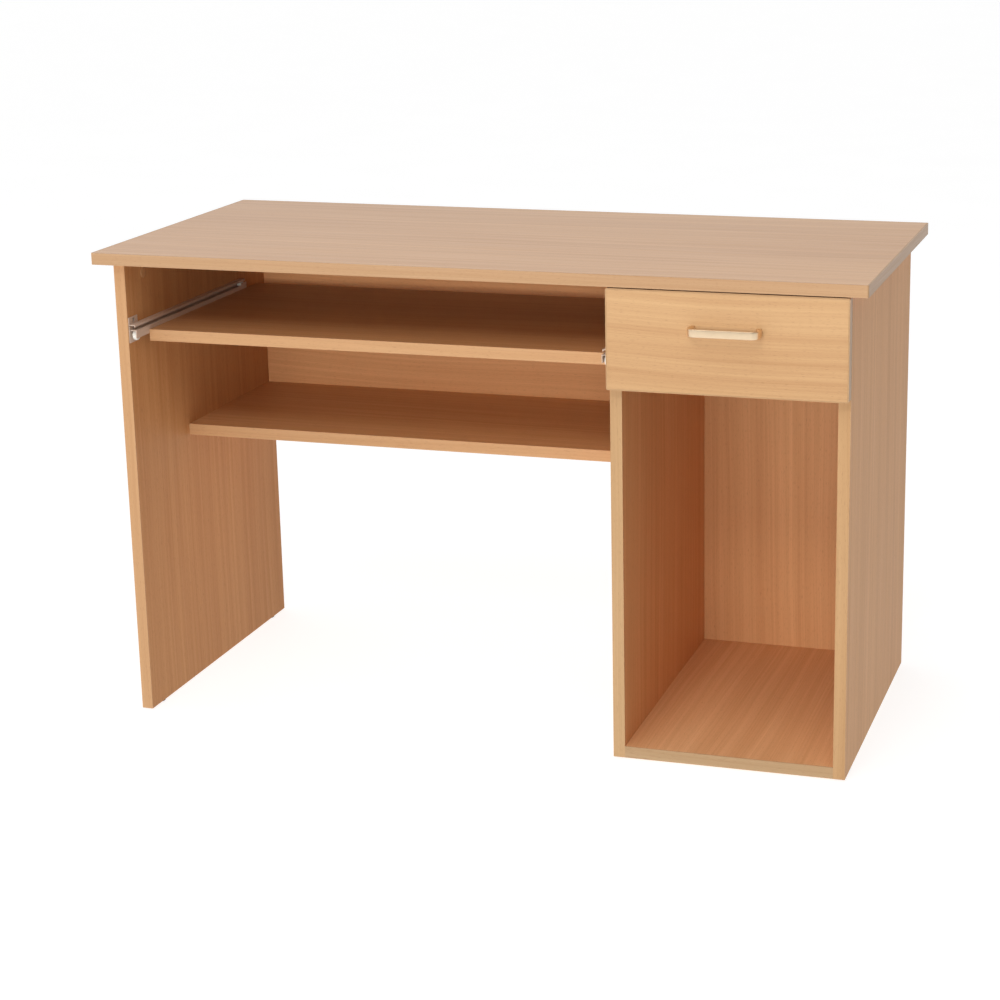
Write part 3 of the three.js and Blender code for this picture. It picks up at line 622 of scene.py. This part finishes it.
def add_screws(name, places, axis, body):
    """Low round screw heads with a cross recess, standing on a face."""
    radius, height, seat = 3.4, 1.1, 0.03
    turn = Vector((0, 0, 1)).rotation_difference(Vector(axis)).to_matrix()
    segments, arm, reach, depth = 40, 0.55, 0.62 * radius, 0.75 * height
    step = 2 * math.pi / segments
    radii = [radius * share for share in (0.1, 0.2, 0.3, 0.4, 0.5, 0.6, 0.66, 0.8, 0.92, 1.0)]
    mesh = bmesh.new()
    for place in places:
        def vertex(r, angle, z):
            point = Vector((r * math.cos(angle), r * math.sin(angle), z)) * MM
            return mesh.verts.new(turn @ point + Vector(place))

        top = vertex(0, 0, height - depth)
        rings = []
        for r in radii:
            dome = height * (1 - 0.45 * (r / radius) ** 4)
            ring = []
            for i in range(segments):
                angle = step * (i + 0.5)
                inside = r < reach and min(abs(r * math.cos(angle)), abs(r * math.sin(angle))) < arm
                ring.append(vertex(r, angle, dome - (depth if inside else 0)))
            rings.append(ring)
        rings.append([vertex(radius, step * (i + 0.5), seat) for i in range(segments)])
        bottom = vertex(0, 0, seat)
        for i in range(segments):
            j = (i + 1) % segments
            mesh.faces.new((top, rings[0][i], rings[0][j]))
            for a, b in zip(rings, rings[1:]):
                mesh.faces.new((a[i], b[i], b[j], a[j]))
            mesh.faces.new((bottom, rings[-1][j], rings[-1][i]))
    new_piece(name, mesh, ZINC, body)


def add_slide_screws():
    """One screw at the tall end of each fixed member, and three up through each moving member."""
    steel, nose_in, nose_down = 1.2 * MM, 14 * MM, 5.6 * MM
    flange_in, front_in, rear_in = 7 * MM, 30 * MM, 45 * MM
    for slide in ("tray_slide_left", "tray_slide_right", "drawer_slide_left", "drawer_slide_right"):
        facing = 1 if slide.endswith("left") else -1
        low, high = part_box(f"{slide}_fixed")
        panel = low.x if facing > 0 else high.x
        nose = Vector((panel + facing * steel, low.y + nose_in, high.z - nose_down))
        add_screws(f"screw_{slide}_nose", [nose], (facing, 0, 0), body_of(f"{slide}_fixed"))

        low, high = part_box(f"{slide}_moving")
        board_side = high.x if facing > 0 else low.x
        middle = board_side - facing * flange_in
        front = max(low.y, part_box("keyboard_tray")[0].y) if slide.startswith("tray") else low.y
        ys = [front + front_in, (front + high.y) / 2, high.y - rear_in]
        add_screws(
            f"screw_{slide}_under", [Vector((middle, y, low.z)) for y in ys], (0, 0, -1),
            body_of(f"{slide}_moving"),
        )


dress_boards()
round_edgings()
dress_hardware()
add_handle()
add_rollers()
add_all_caps()
add_slide_screws()


# ---------------------------------------------------------------------------------------------
# Floor, light and finish

def stage_piece(name, mesh, scale, detail, dark, light, glow):
    """A pale piece of the studio, which gives no diffuse light to the desk."""
    data = bpy.data.meshes.new(name)
    mesh.to_mesh(data)
    mesh.free()
    piece = bpy.data.objects.new(name, data)
    bpy.context.scene.collection.objects.link(piece)
    s = Shader(name)
    cloud = s.noise(s.unstretched(), scale=scale, detail=detail)
    data.materials.append(s.finish(
        Base_Color=s.mix(cloud, rgb(dark, dark, dark), rgb(light, light, light)), Roughness=0.9,
        Specular_IOR_Level=0.1, Emission_Color=(1.0, 1.0, 1.0, 1.0), Emission_Strength=glow,
    ))
    piece.visible_diffuse = False
    return piece


def add_floor():
    """A pale floor that glows a little, as a lit studio sweep does."""
    mesh = bmesh.new()
    bmesh.ops.create_circle(mesh, cap_ends=True, radius=40.0, segments=96)
    floor = stage_piece("floor", mesh, 3.0, 3.0, 168, 176, glow=0.66)
    floor.location.z = -0.2 * MM


def add_backdrop():
    """A white wall all round, far off, that only the camera sees: it hides the horizon."""
    mesh = bmesh.new()
    bmesh.ops.create_cone(mesh, cap_ends=False, segments=96, radius1=30.0, radius2=30.0, depth=60.0)
    backdrop = stage_piece("backdrop", mesh, 0.2, 2.0, 236, 240, glow=1.0)
    backdrop.visible_glossy = False
    backdrop.visible_shadow = False


def add_light(name, position, size, power, aim, glossy=True):
    data = bpy.data.lights.new(name, "AREA")
    data.shape = "RECTANGLE"
    data.size, data.size_y = size
    data.energy = power
    light = bpy.data.objects.new(name, data)
    light.location = position
    direction = Vector(aim) - Vector(position)
    light.rotation_euler = direction.to_track_quat("-Z", "Y").to_euler()
    light.visible_glossy = glossy
    bpy.context.scene.collection.objects.link(light)


def add_world():
    """A studio sky: bright low down and behind the desk, dim overhead, in front and on the right."""
    world = bpy.data.worlds.new("studio")
    world.use_nodes = True
    tree = world.node_tree
    direction = tree.nodes.new("ShaderNodeSeparateXYZ")
    tree.links.new(tree.nodes.new("ShaderNodeTexCoord").outputs["Generated"], direction.inputs[0])

    def slope(output, at_low, at_high, low=-1.0, high=1.0):
        ramp = tree.nodes.new("ShaderNodeMapRange")
        tree.links.new(direction.outputs[output], ramp.inputs[0])
        for i, value in enumerate((low, high, at_low, at_high), start=1):
            ramp.inputs[i].default_value = value
        return ramp.outputs[0]

    def times(a, b):
        product = tree.nodes.new("ShaderNodeMath")
        product.operation = "MULTIPLY"
        tree.links.new(a, product.inputs[0])
        tree.links.new(b, product.inputs[1])
        return product.outputs[0]

    horizon = slope("Z", 3.0, 1.1, low=-0.2, high=0.1)
    strength = times(horizon, times(slope("Y", 0.55, 1.4), slope("X", 0.7, 0.15)))
    tree.links.new(strength, tree.nodes["Background"].inputs["Strength"])
    tree.nodes["Background"].inputs["Color"].default_value = (1.0, 1.0, 1.0, 1.0)
    bpy.context.scene.world = world


def add_lights():
    add_world()
    knees, tray = (0.0, 0.0, 0.45), (0.1, 0.0, 0.5)
    add_light("key", (0.4, -6.0, 1.2), (4.0, 1.2), power=112.0, aim=knees, glossy=False)
    add_light("softbox", (0.2, -3.3, 2.9), (1.2, 0.6), power=22.0, aim=tray, glossy=False)
    add_light("overhead", (0.3, -1.7, 3.2), (3.0, 1.6), power=25.0, aim=tray)
    view = bpy.context.scene.view_settings
    view.view_transform = "Standard"
    view.exposure = 0.2


add_camera()
add_floor()
add_backdrop()
add_lights()
